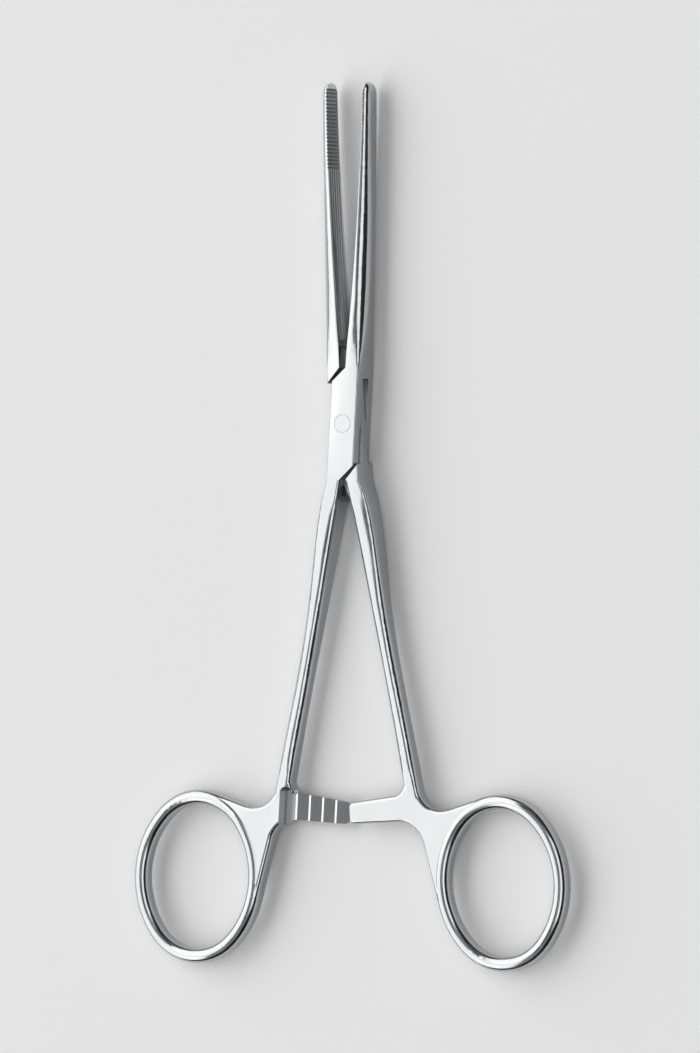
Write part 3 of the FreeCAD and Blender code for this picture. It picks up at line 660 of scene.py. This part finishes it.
def top_measures(placed, directions):
    """Left edge, right edge and lengthwise slope of the flat tops, at every point's place along the half."""
    x, y, _ = placed.T
    on_top = (np.abs(directions[:, 2]) > FLAT_TOP) & (y > RATCHET_TOP)
    station = np.clip(((y - RATCHET_TOP) / STEP).astype(int), 0, len(STATIONS) - 1)
    left, right, slope = np.full((3, len(STATIONS)), np.nan)
    for number in np.unique(station[on_top]):
        mine = on_top & (station == number)
        left[number] = x[mine].min()
        right[number] = x[mine].max()
        slope[number] = np.median(directions[mine, 1])
    return smoothed(left, y), smoothed(right, y), smoothed(slope, y)


print(len(STATIONS), "stations of", STEP / MM, "mm along a half")

# %% Crowned tops
CROWN = 0.13
BOX_CROWN = 0.03
BOX_END = 10.24 * MM
BOX_FADE = 9.0 * MM
RATCHET_FADE = 4.0 * MM
FARTHEST_SHARE = 1.4


def crowned(points, normals, turned_over):
    """Tilt the normals of tops and undersides outwards, and let them flow along the half."""
    placed = on_half(points.reshape(-1, 3), turned_over)
    directions = normals.reshape(-1, 3) @ closing_turn(turned_over).T
    left, right, slope = top_measures(placed, directions)
    x, y, _ = placed.T
    share = (x - (left + right) / 2) / np.maximum((right - left) / 2, STEP)
    share = np.clip(share, -FARTHEST_SHARE, FARTHEST_SHARE)
    past_box = np.clip((np.abs(y) - BOX_END) / BOX_FADE, 0, 1)
    past_box = past_box * past_box * (3 - 2 * past_box)
    # Full on level faces, nothing on upright ones and on the ratchet and rings
    level = np.clip((y - RATCHET_TOP) / RATCHET_FADE, 0, 1) * directions[:, 2] ** 2
    directions[:, 0] += (BOX_CROWN + (CROWN - BOX_CROWN) * past_box) * share * level
    directions[:, 1] += (slope - directions[:, 1]) * level
    return unit(directions @ closing_turn(turned_over)).reshape(normals.shape)


lean = [round(math.degrees(crown), 1) for crown in (CROWN, BOX_CROWN)]
print("edges of the tops lean outwards by", lean[0], "degrees, on the box by", lean[1])

# %% [markdown]
# ## Grain and finishes of the faces
# The polishing lines run with the work: along jaws and shanks, and round the finger rings, where the belt
# goes round too. So a grain coordinate is stored on every point, and on a ring it is unrolled from the
# ring's middle. Which finish a face gets follows from where it lies and which way it faces: the gripping
# face, the teeth and the inside of the lock are cut and get a darker tone, which is painted shade, and the
# flat lands of grip and teeth are worn and get a lighter tone, which is a painted highlight.

# %% Grain that runs with the work
RING_MIDDLE = (-26.5 * MM, -83.8 * MM)
RING_HALF_LENGTH = 14.5 * MM
RING_ZONE = 17.5 * MM


def grain_coordinates(placed):
    """Coordinates whose second axis runs along the jaws and shanks, and round the finger ring."""
    grain = placed.copy()
    dx = placed[:, 0] - RING_MIDDLE[0]
    dy = placed[:, 1] - RING_MIDDLE[1]
    radius = np.hypot(dx, dy)
    on_ring = radius < RING_ZONE
    grain[on_ring, 0] = radius[on_ring]
    grain[on_ring, 1] = np.arctan2(dy, dx)[on_ring] * RING_HALF_LENGTH
    return grain


print("the grain turns round within", RING_ZONE / MM, "mm of a ring's middle")

# %% Which finish a face gets
POLISHED, CUT_AND_SHADED, WORN_AND_LIT = range(3)
SLOT_END = 14.0 * MM
GRIP_DEPTH = 0.8 * MM
GRIP_FACING = 0.3
GRIP_LAND_FACING = 0.9
RECESS_LEFT = -9.75 * MM
TOOTH_ZONE = 1.2 * MM
TOOTH_FACING = 0.2
TOOTH_LAND_FACING = 0.99
TOOTH_LAND_HEIGHT = -0.2 * MM
LOCK_HALF_WIDTH = 2.73 * MM
LOCK_HALF_HEIGHT = 2.0 * MM
LEVEL_FACING = 0.5


def face_finish(middles, directions):
    """Number of each face's finish, from its place on the half and the way it faces."""
    x, y, z = middles.T
    across, _, up = directions.T
    gripping = (y > SLOT_END) & (x < GRIP_DEPTH) & (across < -GRIP_FACING)
    toothed = (y < RATCHET_TOP) & (x > RECESS_LEFT) & (np.abs(z) < TOOTH_ZONE) & (up > TOOTH_FACING)
    in_box = (np.abs(y) < SLOT_END) & (np.abs(x) < LOCK_HALF_WIDTH)
    in_lock = in_box & ((np.abs(up) < LEVEL_FACING) | (np.abs(z) < LOCK_HALF_HEIGHT))
    # Cut faces take the darker steel, which is painted shade.
    finish = np.where(gripping | toothed | in_lock, CUT_AND_SHADED, POLISHED).astype(np.int32)
    # Level lands take the lighter steel, which is a painted highlight.
    finish[gripping & (across < -GRIP_LAND_FACING)] = WORN_AND_LIT
    finish[toothed & (up > TOOTH_LAND_FACING) & (z > TOOTH_LAND_HEIGHT)] = WORN_AND_LIT
    return finish


print("finishes: polished", POLISHED, "cut", CUT_AND_SHADED, "worn", WORN_AND_LIT)

# %% [markdown]
# ## Dressing the halves
# Now each half is put together: split copy, one material index a face, crowned normals on the polished faces
# and the exact ones on the others, and the grain on its points. The copy stands for the solid and
# rides on the same body.

# %% Dress the halves
LONGEST_EDGE = 1.3 * MM


def dressed_half(node_name, body, turned_over):
    """Visible half: split copy with crowned tops, finishes and grain, riding on its body."""
    points, faces, normals = split_long_edges(*joined_triangles(node_name), LONGEST_EDGE)
    mesh = bpy.data.meshes.new(f"{node_name}_polished")
    mesh.from_pydata(points.tolist(), [], faces.tolist())
    mesh.polygons.foreach_set("use_smooth", np.ones(len(faces), dtype=bool))
    for steel in (polished_steel, shaded_cut_steel, lit_worn_steel):
        mesh.materials.append(steel)
    middles = on_half(points[faces].mean(axis=1), turned_over)
    directions = unit(normals.mean(axis=1)) @ closing_turn(turned_over).T
    finish = face_finish(middles, directions)
    mesh.polygons.foreach_set("material_index", finish)
    soft = crowned(points[faces], normals, turned_over)
    soft[finish != POLISHED] = normals[finish != POLISHED]
    mesh.normals_split_custom_set(soft.reshape(-1, 3).tolist())
    grain = grain_coordinates(on_half(points, turned_over))
    attribute = mesh.attributes.new("grain", "FLOAT_VECTOR", "POINT")
    attribute.data.foreach_set("vector", grain.astype(np.float32).ravel())
    piece = bpy.data.objects.new(mesh.name, mesh)
    bpy.context.scene.collection.objects.link(piece)
    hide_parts(node_name)
    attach(piece, body)
    print(piece.name, len(faces), "triangles, polished, cut, worn:", np.bincount(finish).tolist())


dressed_half("female_half", "female", False)
dressed_half("male_half", "male", True)

# %% [markdown]
# ## The rivet
# The pivot is a pin, spread into conical seats at both ends and ground flush, so that only a ring shows.
# It is a turned shape, so its rule is one radius at each height. Geometry Nodes sweep a circle
# along a straight line and scale it by that rule: wide at the ends, a tiny broken edge at the very end.

# %% Node tree of the rivet
PIN_RADIUS = 1.2 * MM
HEAD_RADIUS = 1.65 * MM
HEAD_DEPTH = 0.5 * MM
BROKEN_EDGE = 0.05 * MM
BOX_THICKNESS = 2 * MID_HEIGHT
RIVET_STEP = 0.025 * MM
RIVET_SIDES = 64


def rivet_tree():
    """Geometry Nodes tree for a pin with two spread ends, standing on the floor."""
    tree = bpy.data.node_groups.new("turned_rivet", "GeometryNodeTree")
    sizes = (
        ("Length", BOX_THICKNESS), ("Pin Radius", PIN_RADIUS), ("Head Radius", HEAD_RADIUS),
        ("Head Depth", HEAD_DEPTH), ("Broken Edge", BROKEN_EDGE),
    )
    for name, value in sizes:
        socket = tree.interface.new_socket(name=name, in_out="INPUT", socket_type="NodeSocketFloat")
        socket.default_value = value
    tree.interface.new_socket(name="Steel", in_out="INPUT", socket_type="NodeSocketMaterial")
    tree.interface.new_socket(name="Geometry", in_out="OUTPUT", socket_type="NodeSocketGeometry")
    given = tree.nodes.new("NodeGroupInput")
    result = tree.nodes.new("NodeGroupOutput")

    top = tree.nodes.new("ShaderNodeCombineXYZ")
    tree.links.new(given.outputs["Length"], top.inputs["Z"])
    axis = tree.nodes.new("GeometryNodeCurvePrimitiveLine")
    tree.links.new(top.outputs["Vector"], axis.inputs["End"])
    stations = tree.nodes.new("GeometryNodeResampleCurve")
    stations.inputs["Count"].default_value = round(BOX_THICKNESS / RIVET_STEP) + 1
    tree.links.new(axis.outputs["Curve"], stations.inputs["Curve"])

    place = tree.nodes.new("GeometryNodeInputPosition")
    parts = tree.nodes.new("ShaderNodeSeparateXYZ")
    tree.links.new(place.outputs["Position"], parts.inputs["Vector"])
    from_top = math_node(tree, "SUBTRACT", given.outputs["Length"], parts.outputs["Z"])
    from_end = math_node(tree, "MINIMUM", parts.outputs["Z"], from_top)
    into_head = math_node(tree, "DIVIDE", from_end, given.outputs["Head Depth"], clamp=True)
    spread = math_node(tree, "SUBTRACT", given.outputs["Head Radius"], given.outputs["Pin Radius"])
    narrowing = math_node(tree, "MULTIPLY", spread, into_head)
    cone = math_node(tree, "SUBTRACT", given.outputs["Head Radius"], narrowing)
    into_edge = math_node(tree, "SUBTRACT", given.outputs["Broken Edge"], from_end)
    chamfer = math_node(tree, "MAXIMUM", into_edge, 0.0)
    radius = math_node(tree, "SUBTRACT", cone, chamfer)

    circle = tree.nodes.new("GeometryNodeCurvePrimitiveCircle")
    circle.inputs["Resolution"].default_value = RIVET_SIDES
    circle.inputs["Radius"].default_value = 1.0
    sweep = tree.nodes.new("GeometryNodeCurveToMesh")
    sweep.inputs["Fill Caps"].default_value = True
    tree.links.new(stations.outputs["Curve"], sweep.inputs["Curve"])
    tree.links.new(radius, sweep.inputs["Scale"])
    tree.links.new(circle.outputs["Curve"], sweep.inputs["Profile Curve"])

    grain = tree.nodes.new("GeometryNodeStoreNamedAttribute")
    grain.data_type = "FLOAT_VECTOR"
    grain.inputs["Name"].default_value = "grain"
    tree.links.new(sweep.outputs["Mesh"], grain.inputs["Geometry"])
    tree.links.new(place.outputs["Position"], grain.inputs["Value"])
    real = tree.nodes.new("GeometryNodeRealizeInstances")
    tree.links.new(grain.outputs["Geometry"], real.inputs["Geometry"])
    coat = tree.nodes.new("GeometryNodeSetMaterial")
    tree.links.new(real.outputs["Geometry"], coat.inputs["Geometry"])
    tree.links.new(given.outputs["Steel"], coat.inputs["Material"])
    tree.links.new(coat.outputs["Geometry"], result.inputs["Geometry"])
    return tree


print("rivet radius in mm:", HEAD_RADIUS / MM, "at the ends,", PIN_RADIUS / MM, "between")

# %% Rivet
def made_by_nodes(name, tree, inputs):
    """Run a Geometry Nodes tree with its named inputs and return its result as a plain mesh object."""
    seed = bpy.data.objects.new(f"{name}_nodes", bpy.data.meshes.new(f"{name}_nodes"))
    bpy.context.scene.collection.objects.link(seed)
    modifier = seed.modifiers.new(name, "NODES")
    modifier.node_group = tree
    for item in tree.interface.items_tree:
        if item.name in inputs:
            modifier[item.identifier] = inputs[item.name]
    evaluated = seed.evaluated_get(bpy.context.evaluated_depsgraph_get())
    mesh = bpy.data.meshes.new_from_object(evaluated)
    seed.modifiers.remove(modifier)
    bpy.data.objects.remove(seed)
    piece = bpy.data.objects.new(name, mesh)
    bpy.context.scene.collection.objects.link(piece)
    return piece


rivet = made_by_nodes("rivet", rivet_tree(), {"Length": BOX_THICKNESS, "Steel": rivet_steel})
rivet.data.name = "rivet"
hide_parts("pivot_pin")
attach(rivet, "female")
rivet_points = np.array([tuple(v.co) for v in rivet.data.vertices])
print("rivet in mm from", rivet_points.min(axis=0) / MM, "to", rivet_points.max(axis=0) / MM)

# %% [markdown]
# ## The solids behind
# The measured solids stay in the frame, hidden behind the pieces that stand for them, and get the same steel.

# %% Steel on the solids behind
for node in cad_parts.values():
    node.data.materials.clear()
    node.data.materials.append(polished_steel)
